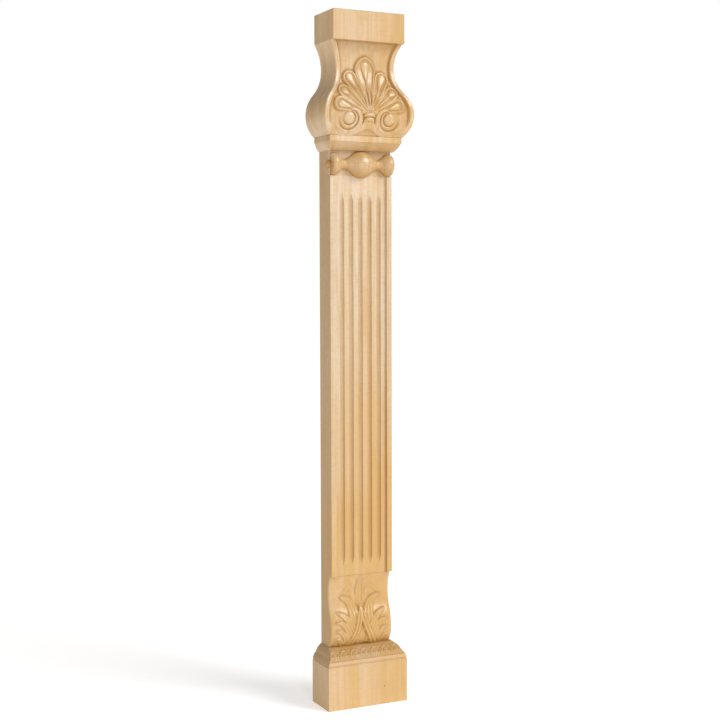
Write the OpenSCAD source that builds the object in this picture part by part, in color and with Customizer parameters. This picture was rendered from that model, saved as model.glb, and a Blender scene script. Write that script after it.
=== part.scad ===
// Carved hardwood pilaster with a flat back: a moulded plinth, a fluted shaft
// that ends below in an S-curved foot with an acanthus leaf, a half-turned
// spindle laid across its head, and a vase-shaped capital with a shell.
// Millimetres, +Z up, the back towards +Y. The origin lies on the floor,
// under the middle of the box around the whole pilaster.

/* [Overall] */
// Height from the floor to the top of the capital
height = 902; // [720:1:1200]
// Greatest depth, at the belly of the capital
belly_d = 61; // [56:0.5:76]

/* [Plinth] */
// Width of the block
plinth_w = 115; // [96:0.5:150]
// Depth of the block
plinth_d = 51.5; // [48:0.5:65]
// Height of the block's upright faces
plinth_block_h = 57.5; // [30:0.5:120]
// Height of the sloped band above the block
plinth_band_h = 10.5; // [6:0.5:16]
// How far the sloped band leans in
plinth_band_in = 5; // [2:0.5:6]
// Height of the rounded, carved shoulder above the band
shoulder_h = 9.5; // [6:0.5:16]
// Depth of the fine line cut round the block under the band
quirk = 0.9; // [0.4:0.1:1.5]
// Number of arches carved along the shoulder
arch_count = 9; // [5:2:13]
// Radius of one carved arch
arch_r = 5.4; // [3:0.1:7]
// Radius of the gouge that cuts the arches
arch_gouge_r = 0.9; // [0.5:0.1:1.5]

/* [Shaft] */
// Width of the shaft
shaft_w = 89; // [74:0.5:110]
// Depth of the shaft, from the back to its two edge strips
shaft_d = 33.5; // [28:0.5:42]
// Width of each raised edge strip
strip_w = 7.3; // [4:0.1:12]
// How deep the panel lies between the strips
panel_recess = 3.5; // [1.5:0.1:6]

/* [Flutes] */
// Number of flutes
flute_count = 5; // [3:1:7]
// Width of one flute at the panel's face
flute_w = 6.6; // [4:0.1:8]
// Depth of one flute
flute_deep = 2.4; // [1:0.1:3]
// Plain panel between the edge strip and the first flute
flute_margin = 7.4; // [3:0.1:12]
// Length of the pointed run-out at each end of a flute
flute_runout = 11; // [5:0.5:20]
// Plain panel between the foot and the flutes
flute_above_foot = 13; // [5:0.5:40]
// Plain panel between the capital and the flutes
flute_below_capital = 56; // [45:0.5:90]

/* [Foot] */
// Height of the S-curved foot above the plinth
foot_h = 94.5; // [80:0.5:120]
// Height of the hollow's deepest point above the plinth
foot_hollow_up = 68.5; // [60:0.5:75]
// Height of the belly's fullest point above the plinth
foot_belly_up = 17.5; // [12:0.5:24]
// How deep the hollow lies behind the panel's face
foot_hollow_in = 6.7; // [4:0.1:9]
// How far the foot rolls back under its belly, where it meets the plinth
foot_roll_in = 8; // [4:0.1:10]
// Height of the leaf's relief
leaf_rise = 1.8; // [1:0.1:3]

/* [Spindle] */
// Greatest radius of the middle swelling
spindle_mid_r = 17.3; // [12:0.1:18]
// Greatest radius of the two end swellings
spindle_end_r = 15.3; // [11:0.1:17]
// Radius of the two necks
spindle_neck_r = 6.8; // [4:0.1:9]
// Distance from the middle to each neck
spindle_neck_x = 24; // [18:0.5:28]
// Distance from each end face back to the fullest point of its swelling
spindle_end_in = 4.5; // [3:0.1:7]
// How far each end face stands past the side of the shaft
spindle_past = 0.5; // [0:0.1:2]
// Radius of the nib on each end
nib_r = 4.5; // [3:0.1:6]

/* [Capital] */
// Height of the whole capital
capital_h = 175; // [150:0.5:210]
// Width of the square block on top
abacus_w = 101.6; // [90:0.1:130]
// Depth of the square block on top
abacus_d = 58; // [54:0.5:72]
// Height of the square block on top
abacus_h = 38; // [25:0.5:50]
// Height of the rounded moulding at the bottom
ovolo_h = 10; // [6:0.5:14]
// Height of the plain band above that moulding
band_h = 8; // [4:0.5:12]
// Width of the plain band
band_w = 103; // [94:0.5:120]
// Depth of the plain band
band_d = 48.6; // [44:0.1:55]
// How far the rounded moulding draws in at the front
ovolo_in_front = 12; // [6:0.5:14]
// How far the rounded moulding draws in at each side
ovolo_in_side = 6; // [3:0.5:7]

/* [Vase body] */
// Width just under the top block
body_top_w = 101; // [90:0.5:120]
// Width at the neck
neck_w = 83.2; // [70:0.1:88]
// Width at the belly
belly_w = 127.8; // [112:0.1:154]
// Width where the belly meets the band
body_foot_w = 105.2; // [96:0.1:110]
// Distance from the top block down to the neck, in the front outline
neck_down = 33; // [25:0.5:36]
// Distance from the band up to the belly, in the front outline
belly_up = 27; // [20:0.5:32]
// Depth just under the top block
body_top_d = 52; // [48:0.5:56]
// Depth at the neck
neck_d = 45.5; // [38:0.1:47]
// Depth where the belly meets the band
body_foot_d = 49; // [45:0.1:54]
// Distance from the top block down to the neck, in the side outline
side_neck_down = 29; // [22:0.5:34]
// Distance from the band up to the belly, in the side outline
side_belly_up = 34; // [26:0.5:38]
// Share of the S between neck and belly that is hollow
hollow_share = 0.54; // [0.45:0.01:0.6]

/* [Capital carving] */
// Width of the raised border round the carved field
border_w = 6; // [4:0.5:9]
// How deep the carved field lies below the border
field_deep = 2; // [1:0.1:3]
// Height of the shell's lobes above the field
shell_rise = 3; // [1.5:0.1:4]
// Distance from the middle to each volute's eye
eye_x = 28.5; // [24:0.5:32]
// Distance from the bottom of the vase body up to each volute's eye
eye_up = 21.3; // [18:0.1:26]
// Radius of each volute's eye
eye_r = 7.3; // [5:0.1:9]
// Height of each volute's eye above the field
eye_rise = 4; // [2:0.1:5]

/* [Hidden] */

// Heights of the main joints, all measured from the floor
z_band = plinth_block_h;
z_shoulder = z_band + plinth_band_h;
z_plinth = z_shoulder + shoulder_h;
z_foot = z_plinth + foot_h;
z_capital = height - capital_h;
z_plain_band = z_capital + ovolo_h;
z_body = z_plain_band + band_h;
z_abacus = height - abacus_h;

back_y = belly_d / 2;
slack = 1;

// The panel between the strips, and the flutes in it
panel_w = shaft_w - 2 * strip_w;
panel_d = shaft_d - panel_recess;
flute_pitch = (panel_w - 2 * flute_margin - flute_w) / (flute_count - 1);
flute_z0 = z_foot + flute_above_foot;
flute_z1 = z_capital - flute_below_capital;

// The spindle's fullest swelling comes just under the capital
spindle_gap = 0.2;
spindle_full_r = max(spindle_mid_r, spindle_end_r);
z_spindle = z_capital - spindle_full_r - spindle_gap;
spindle_half = shaft_w / 2 + spindle_past;
z_strip_top = z_spindle - spindle_end_r - spindle_gap;

// ---- curves ----

// Radius of the arc that rises by `rise` over a run that starts level
function arc_r(run, rise) = (run * run + rise * rise) / (2 * rise);

// How far an arc of radius r has left its tangent, t along that tangent
function leave(r, t) = r - sqrt(max(r * r - t * t, 0));

// An S made of two arcs, tangent where they meet. It starts upright at the
// height `high` with the value `a`, and ends upright at `low` with the value b.
function s_curve(z, a, high, b, low, share) =
    let (run = high - low,
         both = arc_r(run, b - a),
         r1 = share * both,
         r2 = both - r1)
    z > high - share * run ? a + leave(r1, high - z) : b - leave(r2, z - low);

// Outline of the vase body: a hollow under the top block, an S from neck to
// belly, and the belly's own arc down to the band
function vase(z, top, neck, belly, foot, z_neck, z_belly) =
    z > z_neck ? neck + leave(arc_r(z_abacus - z_neck, top - neck), z - z_neck)
    : z > z_belly ? s_curve(z, neck, z_neck, belly, z_belly, hollow_share)
    : belly - leave(arc_r(z_belly - z_body, belly - foot), z_belly - z);

function body_half_w(z) =
    vase(z, body_top_w / 2, neck_w / 2, belly_w / 2, body_foot_w / 2,
         z_abacus - neck_down, z_body + belly_up);

function body_depth(z) =
    vase(z, body_top_d, neck_d, belly_d, body_foot_d,
         z_abacus - side_neck_down, z_body + side_belly_up);

// Depth of the foot's S: a hollow that starts at the panel's face, an S out
// to the belly, which reaches the strips' face, and the roll under it
foot_hollow_share = 0.45;

function foot_depth(z) =
    let (z_hollow = z_plinth + foot_hollow_up,
         z_belly = z_plinth + foot_belly_up,
         hollow = panel_d - foot_hollow_in)
    z > z_hollow ? hollow + leave(arc_r(z_foot - z_hollow, foot_hollow_in), z - z_hollow)
    : z > z_belly ? s_curve(z, hollow, z_hollow, shaft_d, z_belly, foot_hollow_share)
    : shaft_d - leave(arc_r(foot_belly_up, foot_roll_in), min(z_belly - z, foot_belly_up));

// ---- relief ----

// A slope from 0 to 1 over the distance `soft`
function ramp(x, soft) = min(max(x / soft, 0), 1);

// Height of a round-backed finger at (x, z). It grows from its root to a full
// half width w and ends at its tip: blunt when `blunt` is large, pointed near 1.
function finger(x, z, root, tip, w, blunt) =
    let (along = tip - root,
         reach = norm(along),
         dir = along / reach,
         p = [x, z] - root,
         u = (p * dir) / reach,
         v = abs(p[0] * dir[1] - p[1] * dir[0]),
         half = u <= 0 || u >= 1 ? 0 : w * pow(u, 0.8) * sqrt(1 - pow(u, blunt)))
    v >= half ? 0 : sqrt(1 - pow(v / half, 2));

// The shell is a fan of seven lobes, given for one side as [angle from
// upright, reach from the root, half width]
shell_lobes = [[0, 76, 14.5], [25, 64, 11], [48, 56, 10], [71, 53, 11]];
shell_root = [0, z_body + belly_up - 4];
lobe_blunt = 7;

function shell(x, z) = shell_rise * max([
    for (lobe = shell_lobes)
        finger(abs(x), z, shell_root,
               shell_root + lobe[1] * [sin(lobe[0]), cos(lobe[0])], lobe[2], lobe_blunt)]);

// A volute is a ball eye inside a round ridge
ring_gap = 5.2;
ring_half_w = 3.2;
ring_rise = 2.2;

function volute(x, z) =
    let (r = norm([abs(x) - eye_x, z - z_body - eye_up]),
         off_ring = (r - eye_r - ring_gap) / ring_half_w)
    max(r < eye_r ? eye_rise * sqrt(1 - pow(r / eye_r, 2)) : 0,
        abs(off_ring) < 1 ? ring_rise * sqrt(1 - off_ring * off_ring) : 0);

// The binding where the shell's lobes gather, and the tongue below it
collar_half_w = 8;
collar_h = 12;
tongue_h = 7;
tongue_half_w = 19;
tongue_edge = 2;

function collar(x, z) =
    abs(x) < collar_half_w && abs(z - shell_root[1]) < collar_h / 2
    ? shell_rise * sqrt(1 - pow(x / collar_half_w, 2)) : 0;

function tongue(x, z) = field_deep * ramp(
    tongue_h * (1 - abs(x) / tongue_half_w) - (z - z_body), tongue_edge);

// The field is 1 inside the border and 0 on it, and a narrow sill closes it below
border_edge = 1.5;
sill_h = 2;

function field(x, z) = ramp(body_half_w(z) - border_w - abs(x), border_edge)
                     * ramp(z - z_body - sill_h, border_edge);

function capital_front(x, z) = min(belly_d, body_depth(z) + field(x, z)
    * (max(shell(x, z), volute(x, z), collar(x, z), tongue(x, z)) - field_deep));

// The leaf on the foot, given for one side as [root, tip, half width], with
// heights above the plinth
leaf_fingers = [[[0, 35], [0, 91], 6], [[4, 45], [23, 78], 6.5],
                [[4, 24], [30, 66], 8.5], [[9, 16], [37, 47], 7.5],
                [[14, 8], [39.5, 34.5], 6.5], [[20, 2], [39.5, 23], 5.5],
                [[6, 24], [19, -6], 5]];

leaf_blunt = 3;
leaf_fade = 3;

function leaf(x, z) =
    let (up = z - z_plinth,
         down = z_foot - z)
    leaf_rise * ramp(up, leaf_fade) * ramp(down, leaf_fade)
    * max([for (f = leaf_fingers) finger(abs(x), up, f[0], f[1], f[2], leaf_blunt)]);

// ---- solids built row by row ----

// Closed solid between a flat back and a carved front. Each row of `rows` is
// one level, a list of points from the left back corner round the front to
// the right back corner, and every row has the same number of points.
module loft(rows) {
    n = len(rows[0]);
    last = len(rows) - 1;
    skin = [for (i = [0:last - 1], j = [0:n - 1])
        let (k = (j + 1) % n)
        each [[i * n + j, (i + 1) * n + k, i * n + k],
              [i * n + j, (i + 1) * n + j, (i + 1) * n + k]]];
    bottom = [for (j = [0:n - 1]) j];
    top = [for (j = [n - 1:-1:0]) last * n + j];
    polyhedron([for (row = rows) each row], concat(skin, [bottom, top]), convexity = 6);
}

body_rows = 44;
body_cols = 44;
mould_steps = 8;

// Points of a rounded moulding from [a, z] to [b, z + h] that swells by `full`
function moulding(a, b, z, h, full) = [
    for (i = [0:mould_steps])
        let (t = i / mould_steps) [a + (b - a) * t + 4 * full * t * (1 - t), z + h * t]];

// One level of the capital, carved (relief = 1) or plain (relief = 0)
function level(z, w, d, relief) =
    concat([[-w, 0, z]],
           [for (j = [0:body_cols])
               let (x = w * (2 * j / body_cols - 1))
               [x, relief == 1 ? -capital_front(x, z) : -d, z]],
           [[w, 0, z]]);

ovolo_full = 2;
eased = 0.3;

module carved_block() {
    half_w = moulding(band_w / 2 - ovolo_in_side, band_w / 2, z_capital, ovolo_h, ovolo_full);
    depth = moulding(band_d - ovolo_in_front, band_d, z_capital, ovolo_h, ovolo_full);
    step = (z_abacus - z_body) / body_rows;
    loft(concat(
        [for (i = [0:mould_steps]) level(half_w[i][1], half_w[i][0], depth[i][0], 0)],
        [level(z_body - eased, band_w / 2, band_d, 0)],
        [for (i = [0:body_rows]) let (z = z_body + i * step) level(z, body_half_w(z), 0, 1)],
        [level(z_abacus + eased, abacus_w / 2, abacus_d, 0)],
        [level(height, abacus_w / 2, abacus_d, 0)]));
}

foot_rows = 36;
foot_cols = 40;

function foot_row(z) =
    concat([[-shaft_w / 2, 0, z]],
           [for (j = [0:foot_cols])
               let (x = shaft_w * (j / foot_cols - 0.5)) [x, -foot_depth(z) - leaf(x, z), z]],
           [[shaft_w / 2, 0, z]]);

module carved_foot() {
    step = foot_h / foot_rows;
    loft([for (i = [0:foot_rows]) foot_row(z_plinth + i * step)]);
}

// ---- outlines in both directions ----

// A solid that shows the outline `front` from the front and `side` from the
// side. Both are lists of [half width or depth, z] up one edge.
module two_outlines(front, side) {
    w = max([for (p = front) p[0]]);
    d = max([for (p = side) p[0]]);
    mirrored = [for (i = [len(front) - 1:-1:0]) [-front[i][0], front[i][1]]];
    z_low = side[0][1];
    z_high = side[len(side) - 1][1];
    intersection() {
        rotate([90, 0, 0])
            linear_extrude(d)
                polygon(concat(front, mirrored));
        rotate([90, 0, 90])
            linear_extrude(2 * w, center = true)
                polygon(concat([[0, z_low]], [for (p = side) [-p[0], p[1]]], [[0, z_high]]));
    }
}

function plinth_outline(face, top, full) = concat(
    [[face, 0], [face, z_band], [face - quirk, z_band + quirk],
     [face - quirk, z_band + 2 * quirk], [face, z_band + 2 * quirk]],
    moulding(face - plinth_band_in, top, z_shoulder, shoulder_h, full));

module arch_cuts() {
    run = plinth_d - plinth_band_in - shaft_d + foot_roll_in;
    pitch = (plinth_w - 2 * plinth_band_in) / (arch_count + 0.5);
    tilt = atan(shoulder_h / run);
    for (i = [0:arch_count - 1])
        translate([(i - (arch_count - 1) / 2) * pitch, plinth_band_in - plinth_d, z_shoulder])
            rotate([tilt, 0, 0])
                translate([0, arch_gouge_r, 2 * arch_gouge_r])
                    rotate_extrude($fn = 24)
                        translate([arch_r, 0])
                            circle(arch_gouge_r, $fn = 16);
}

// ---- the four pieces ----

// How far the plinth's top stands out round the foot, and how much its
// shoulder swells on the sides and at the front
lip = 1;
shoulder_full_side = 1.2;
shoulder_full_front = 2.5;

module plinth() {
    color("burlywood")
        translate([0, back_y, 0])
            difference() {
                two_outlines(
                    plinth_outline(plinth_w / 2, shaft_w / 2 + lip, shoulder_full_side),
                    plinth_outline(plinth_d, shaft_d - foot_roll_in + 2 * lip,
                                   shoulder_full_front));
                arch_cuts();
            }
}

// One flute: a round groove that runs out to a point at both ends
module flute_cut() {
    r = (pow(flute_w / 2, 2) + pow(flute_deep, 2)) / (2 * flute_deep);
    out = r - flute_deep;
    translate([0, -panel_d - out, 0]) {
        translate([0, 0, flute_z0])
            cylinder(flute_runout, out, r, $fn = 48);
        translate([0, 0, flute_z0 + flute_runout])
            cylinder(flute_z1 - flute_z0 - 2 * flute_runout, r, r, $fn = 48);
        translate([0, 0, flute_z1 - flute_runout])
            cylinder(flute_runout, r, out, $fn = 48);
    }
}

module fluted_blank() {
    difference() {
        translate([-shaft_w / 2, -shaft_d, z_foot])
            cube([shaft_w, shaft_d, z_capital - z_foot]);
        translate([-panel_w / 2, -shaft_d - slack, z_foot - slack])
            cube([panel_w, panel_recess + slack, z_capital - z_foot + 2 * slack]);
        translate([-shaft_w / 2 - slack, -shaft_d - slack, z_strip_top])
            cube([shaft_w + 2 * slack, panel_recess + slack, z_capital - z_strip_top + slack]);
        for (i = [0:flute_count - 1])
            translate([(i - (flute_count - 1) / 2) * flute_pitch, 0, 0])
                flute_cut();
    }
}

module shaft() {
    color("wheat")
        translate([0, back_y, 0]) {
            fluted_blank();
            carved_foot();
        }
}

// Radius of the spindle at the distance x from its middle
function spindle_r(x) =
    let (full_x = spindle_half - spindle_end_in)
    x < spindle_neck_x
    ? spindle_neck_r + (spindle_mid_r - spindle_neck_r)
        * (0.5 + 0.5 * cos(180 * pow(x / spindle_neck_x, 1.25)))
    : x < full_x
    ? spindle_neck_r + (spindle_end_r - spindle_neck_r)
        * (0.5 - 0.5 * cos(180 * (x - spindle_neck_x) / (full_x - spindle_neck_x)))
    : spindle_end_r * sqrt(1 - pow((x - full_x) / (2.2 * spindle_end_in), 2));

// Right half of the turned profile, as [radius, distance from the middle]
spindle_steps = 24;
spindle_side = [for (i = [0:spindle_steps])
    let (x = spindle_half * i / spindle_steps) [spindle_r(x), x]];
nib_side = [for (a = [0:15:75]) [nib_r * cos(a), spindle_half + nib_r * sin(a)]];

module spindle() {
    half = concat(spindle_side, nib_side);
    n = len(half);
    tip = spindle_half + nib_r;
    mirrored = [for (i = [n - 1:-1:1]) [half[i][0], -half[i][1]]];
    color("tan")
        translate([0, back_y - panel_d, z_spindle])
            difference() {
                rotate([0, 90, 0])
                    rotate_extrude($fn = 64)
                        polygon(concat([[0, -tip]], mirrored, half, [[0, tip]]));
                translate([-tip - slack, 0, -spindle_full_r - slack])
                    cube([2 * (tip + slack), spindle_full_r + slack,
                          2 * (spindle_full_r + slack)]);
            }
}

module capital() {
    color("navajowhite")
        translate([0, back_y, 0])
            carved_block();
}

plinth();
shaft();
spindle();
capital();
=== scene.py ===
# %% [markdown]
# # A carved pilaster with a shell capital
# The real thing is a slim half column of pale maple, made to be fixed with its flat back
# against a cabinet or a chimney breast. It has four pieces of wood: a moulded plinth, a
# fluted shaft that ends below in a leaf-carved foot, a half-turned spindle across the head
# of the shaft, and a vase-shaped capital with a shell on it.
#
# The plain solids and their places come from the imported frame. This lesson makes the
# finely carved skin of each piece, and the wood it is made of.

from math import pi, radians

import bpy
import numpy as np
from mathutils import Matrix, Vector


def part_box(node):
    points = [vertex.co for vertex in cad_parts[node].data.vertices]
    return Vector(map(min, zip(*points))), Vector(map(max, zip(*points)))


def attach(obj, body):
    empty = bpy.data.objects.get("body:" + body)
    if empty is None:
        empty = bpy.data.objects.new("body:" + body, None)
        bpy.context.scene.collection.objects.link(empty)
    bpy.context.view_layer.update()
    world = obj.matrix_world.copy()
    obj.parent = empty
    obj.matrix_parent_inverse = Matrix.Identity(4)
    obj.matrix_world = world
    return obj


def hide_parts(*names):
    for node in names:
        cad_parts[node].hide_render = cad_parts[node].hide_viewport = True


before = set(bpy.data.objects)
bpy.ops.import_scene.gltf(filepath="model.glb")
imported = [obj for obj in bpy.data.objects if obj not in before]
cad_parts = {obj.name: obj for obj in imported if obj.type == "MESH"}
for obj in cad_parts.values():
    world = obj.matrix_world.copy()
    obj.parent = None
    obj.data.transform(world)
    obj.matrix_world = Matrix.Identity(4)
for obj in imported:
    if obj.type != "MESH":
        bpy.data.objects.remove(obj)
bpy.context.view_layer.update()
print("pieces in the frame:", sorted(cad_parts))

# %% [markdown]
# ## Millimetres, and where each piece stands
# A woodworker thinks in millimetres, so every shape below is worked out in millimetres and
# turned into metres when its mesh is made. Each piece's place and overall size are read
# from the frame, and the smaller sizes are measured from there.

# %% Places
MM = 0.001


def box_mm(node):
    """Lowest and highest corner of a piece of the frame, in millimetres."""
    low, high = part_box(node)
    return np.array(low) / MM, np.array(high) / MM


plinth_low, plinth_high = box_mm("plinth")
shaft_low, shaft_high = box_mm("shaft")
spindle_low, spindle_high = box_mm("spindle")
capital_low, capital_high = box_mm("capital")

back_y = shaft_high[1]
plinth_half_w = plinth_high[0]
plinth_d = back_y - plinth_low[1]
shaft_half_w = shaft_high[0]
spindle_z = (spindle_low[2] + spindle_high[2]) / 2
panel_d = back_y - spindle_high[1]
belly_half_w = capital_high[0]
belly_d = back_y - capital_low[1]
for name, low, high in (("plinth", plinth_low, plinth_high), ("shaft", shaft_low, shaft_high),
                        ("spindle", spindle_low, spindle_high), ("capital", capital_low, capital_high)):
    print(f"{name}: {np.round(high - low, 1)} mm, standing from {low[2]:.1f} mm")

# %% [markdown]
# ## Camera
# The pilaster is seen from the left of its front, from 1.8 m away, with a long lens, so
# that its upright edges stay nearly parallel. Its turns are made one after the other: round
# the upright, then up or down, then round its own line of sight.

# %% Camera
CAMERA_PLACE = (-0.783, -1.599, 0.562)
CAMERA_TURN = radians(-26.06)
CAMERA_TILT = radians(-3.42)
CAMERA_ROLL = radians(-0.15)
LENS_MM = 68.05
SENSOR_MM = 36.0

camera = bpy.data.objects.new("camera", bpy.data.cameras.new("camera"))
camera.data.lens = LENS_MM
camera.data.sensor_width = SENSOR_MM
camera.matrix_world = (
    Matrix.Translation(CAMERA_PLACE)
    @ Matrix.Rotation(CAMERA_TURN, 4, "Z")
    @ Matrix.Rotation(pi / 2 + CAMERA_TILT, 4, "X")
    @ Matrix.Rotation(CAMERA_ROLL, 4, "Z")
)
bpy.context.scene.collection.objects.link(camera)
bpy.context.scene.camera = camera
bpy.context.scene.view_settings.view_transform = "Standard"
print("camera", CAMERA_PLACE, "lens", LENS_MM, "mm")

# %% [markdown]
# ## Shader sums
# The wood's pattern is a handful of sums on the place of each point: how far it lies from
# the heart of the tree, which stave it is in, how much it stands out of its neighbours. A
# small class lets them be written as sums. Every sign between two wires adds one Math node,
# and every other node, of a material or of the world, comes from one method.

# %% Wires and finishes
MIX_SHARE, MIX_FIRST, MIX_SECOND, MIX_COLOUR = 0, 6, 7, 2


class Wire:
    """One number or colour on its way through the nodes. + - * ** add Math nodes."""

    def __init__(self, finish, socket):
        self.finish = finish
        self.socket = socket

    def maths(self, operation, *values):
        """One Math node, fed with the values or wires in their order."""
        settings = {"operation": operation}
        return self.finish.node("ShaderNodeMath", settings, dict(enumerate(values)))

    def __add__(self, other):
        return self.maths("ADD", self, other)

    __radd__ = __add__

    def __sub__(self, other):
        return self.maths("SUBTRACT", self, other)

    def __rsub__(self, other):
        return self.maths("SUBTRACT", other, self)

    def __mul__(self, other):
        return self.maths("MULTIPLY", self, other)

    __rmul__ = __mul__

    def __pow__(self, other):
        return self.maths("POWER", self, other)

    def above(self, edge):
        """1 where this is more than edge, and 0 elsewhere."""
        return self.maths("GREATER_THAN", self, edge)

    def sine(self):
        """The sine of this, as an angle in radians."""
        return self.maths("SINE", self)

    def between(self, low, high):
        """0 at low and 1 at high, with a soft start and end."""
        settings = {"interpolation_type": "SMOOTHSTEP"}
        values = {"Value": self, "From Min": low, "From Max": high}
        return self.finish.node("ShaderNodeMapRange", settings, values)


class Finish:
    """The nodes of a material, or of the world, which is its owner."""

    def __init__(self, owner):
        owner.use_nodes = True
        self.owner = owner
        self.tree = owner.node_tree

    def feed(self, node, values, out=0):
        """Gives each named socket of a node its value or wire, and returns one output."""
        for key, value in values.items():
            if isinstance(value, Wire):
                self.tree.links.new(value.socket, node.inputs[key])
            else:
                node.inputs[key].default_value = value
        return Wire(self, node.outputs[out]) if node.outputs else None

    def node(self, kind, settings=None, values=None, out=0):
        """Adds a node of one kind: first its settings, then its sockets."""
        node = self.tree.nodes.new(kind)
        for key, value in (settings or {}).items():
            setattr(node, key, value)
        return self.feed(node, values or {}, out)

    def mix(self, share, first, second):
        """The first colour where share is 0, the second where it is 1."""
        values = {MIX_SHARE: share, MIX_FIRST: first, MIX_SECOND: second}
        return self.node("ShaderNodeMix", {"data_type": "RGBA"}, values, out=MIX_COLOUR)

    def noise(self, place, stretch, detail=2.0, rough=0.5):
        """Cloudy noise whose grains are 1 / stretch metres long in each direction."""
        scaled = self.node("ShaderNodeMapping", None, {"Vector": place, "Scale": stretch})
        return self.node("ShaderNodeTexNoise", None,
                         {"Vector": scaled, "Scale": 1.0, "Detail": detail, "Roughness": rough})


# %% [markdown]
# ## Light
# A wide soft light stands in front, above and to the right, as a big softbox would, so the
# left side falls into a warm shade and each carved edge turns from light to dark. Three
# narrow upright lamps draw the satin streaks that lacquer shows: one by the camera, one far
# to the left, and a short one on the right. A pale sky fills the shade. The camera sees
# plain white instead of it, which a mix on the camera's rays does without adding light.

# %% Lamps
def add_light(name, kind, energy, colour, turn, place=(0, 0, 0), **shape):
    """A light that points along its own -Z, turned by (x, y, z) degrees."""
    light = bpy.data.lights.new(name, kind)
    light.energy = energy
    light.color = colour
    for key, value in shape.items():
        setattr(light, key, value)
    lamp = bpy.data.objects.new(name, light)
    lamp.location = place
    lamp.rotation_euler = [radians(a) for a in turn]
    bpy.context.scene.collection.objects.link(lamp)


add_light("softbox", "SUN", 1.88, (1.0, 0.995, 0.985), (57, 0, 38), angle=radians(30))
add_light("window", "AREA", 3.6, (1.0, 1.0, 1.0), (88, 0, -12), (-0.31, -1.46, 0.80),
          shape="RECTANGLE", size=0.12, size_y=1.55)
add_light("strip", "AREA", 2.1, (1.0, 0.99, 0.97), (88, 0, -61), (-1.31, -0.73, 0.80),
          shape="RECTANGLE", size=0.10, size_y=1.55)
add_light("glint", "AREA", 0.7, (1.0, 1.0, 1.0), (84, 0, 24), (0.605, -1.35, 1.0),
          shape="RECTANGLE", size=0.14, size_y=0.6)

# %% Sky
WHITE = (1, 1, 1, 1)
SKY = (1.0, 0.995, 0.985, 1)
SKY_STRENGTH = 0.33

bpy.context.scene.world = bpy.data.worlds.new("studio")
studio = Finish(bpy.context.scene.world)
sky = studio.feed(studio.tree.nodes["Background"], {"Color": SKY, "Strength": SKY_STRENGTH})
white = studio.node("ShaderNodeBackground", None, {"Color": WHITE, "Strength": 1.0})
seen = studio.node("ShaderNodeLightPath", out="Is Camera Ray")
either = studio.node("ShaderNodeMixShader", None, {0: seen, 1: sky, 2: white})
studio.feed(studio.tree.nodes["World Output"], {"Surface": either})

# %% [markdown]
# ## A floor
# One flat disc, wide enough that its far edge melts into the white behind it. It glows a
# little, so that it stays as pale as the white and shows only the shadow.

# %% Floor
FLOOR_RADIUS = 60.0
FLOOR_SIDES = 96
FLOOR_GREY = (0.97, 0.97, 0.97, 1)
FLOOR_ROUGHNESS = 0.9
FLOOR_GLOW = 0.42


def disc(name, radius, sides):
    """A flat disc on the ground: points at equal steps round a circle, one face."""
    turn = np.linspace(0, 2 * pi, sides, endpoint=False)
    points = np.stack([radius * np.cos(turn), radius * np.sin(turn), 0 * turn], axis=1)
    mesh = bpy.data.meshes.new(name)
    mesh.from_pydata(points.tolist(), [], [list(range(sides))])
    thing = bpy.data.objects.new(name, mesh)
    bpy.context.scene.collection.objects.link(thing)
    return thing


floor = disc("floor", FLOOR_RADIUS, FLOOR_SIDES)
paper = Finish(bpy.data.materials.new("paper"))
paper.feed(paper.tree.nodes["Principled BSDF"],
           {"Base Color": FLOOR_GREY, "Roughness": FLOOR_ROUGHNESS,
            "Emission Color": WHITE, "Emission Strength": FLOOR_GLOW})
floor.data.materials.append(paper.owner)
print("floor", FLOOR_RADIUS, "m in radius")

# %% [markdown]
# ## The wood
# The pilaster is glued up from staves of maple that were cut from different boards, so
# each has its own shade and its own growth rings. Rings are cylinders round the heart of
# the tree. A flat face cuts them at a slant, which draws long pale flames on the front and
# arcs on the ends, so the pattern is worked out in three dimensions and every face shows
# its own cut. Narrow streaks, fine fibres and small pores run along the grain, a faint curl
# crosses it, and some patches drink more stain than others. A clear satin lacquer lies on
# top. Painted shade darkens the hollows of the carving, the undersides and the corners
# between pieces, with a little glue stain along the spindle's foot, and the sides take
# painted shade with a deeper tone of their own. An attribute on each mesh marks all of
# this from 0 to 1, and where it is high the lacquer is duller too.

# %% Colours and grain
PALE = (0.685, 0.55, 0.39, 1)
WARM = (0.62, 0.362, 0.108, 1)
LATE_WOOD = (0.50, 0.30, 0.14, 1)
PORE = (0.36, 0.20, 0.10, 1)
# painted shade, with a deeper tone on the sides: the brown that the marked places take
SHADE_AND_TONE_BROWN = (0.44, 0.23, 0.055, 1)
STAIN = (0.52, 0.31, 0.085, 1)
KNOT = (0.22, 0.10, 0.03, 1)

# how fine each pattern is, in grains to the metre: across, through and along the grain
WANDER_GRAIN = (14, 14, 2.2)
CLOUD_GRAIN = (22, 22, 9)
STREAK_GRAIN = (230, 230, 5)
PATCH_GRAIN = (60, 60, 17)
FIBRE_GRAIN = (1500, 1500, 22)
PORE_GRAIN = (2300, 2300, 260)
CURL_GRAIN = (100, 100, 280)
TURNED_CURL_GRAIN = (40, 40, 230)

# where a pattern's noise starts to show, and where it shows in full
PORE_CUT = (0.66, 0.74)
PATCH_CUT = (0.44, 0.66)
CURL_CUT = (0.45, 0.7)

# how much of its colour each pattern lays over the wood
CLOUD_SHOW = 0.8
RING_SHOW = 0.22
FIBRE_SHOW = 0.22
CURL_SHOW = 0.2
TURNED_CURL_SHOW = 0.7
PORE_SHOW = 0.30
# how much of that painted-shade brown the marks lay over the wood
SHADE_AND_TONE_SHOW = 0.85
KNOT_CORE = 0.4
KNOT_RIM = 1.5

# the growth rings, in metres: their gap, the hearts' spread and depth, how far they wander
RING_GAP = 0.0042
HEART_SPREAD = 0.03
HEART_STEP = 2.4
HEART_BEHIND = 0.07
RING_WANDER = 0.035

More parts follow.
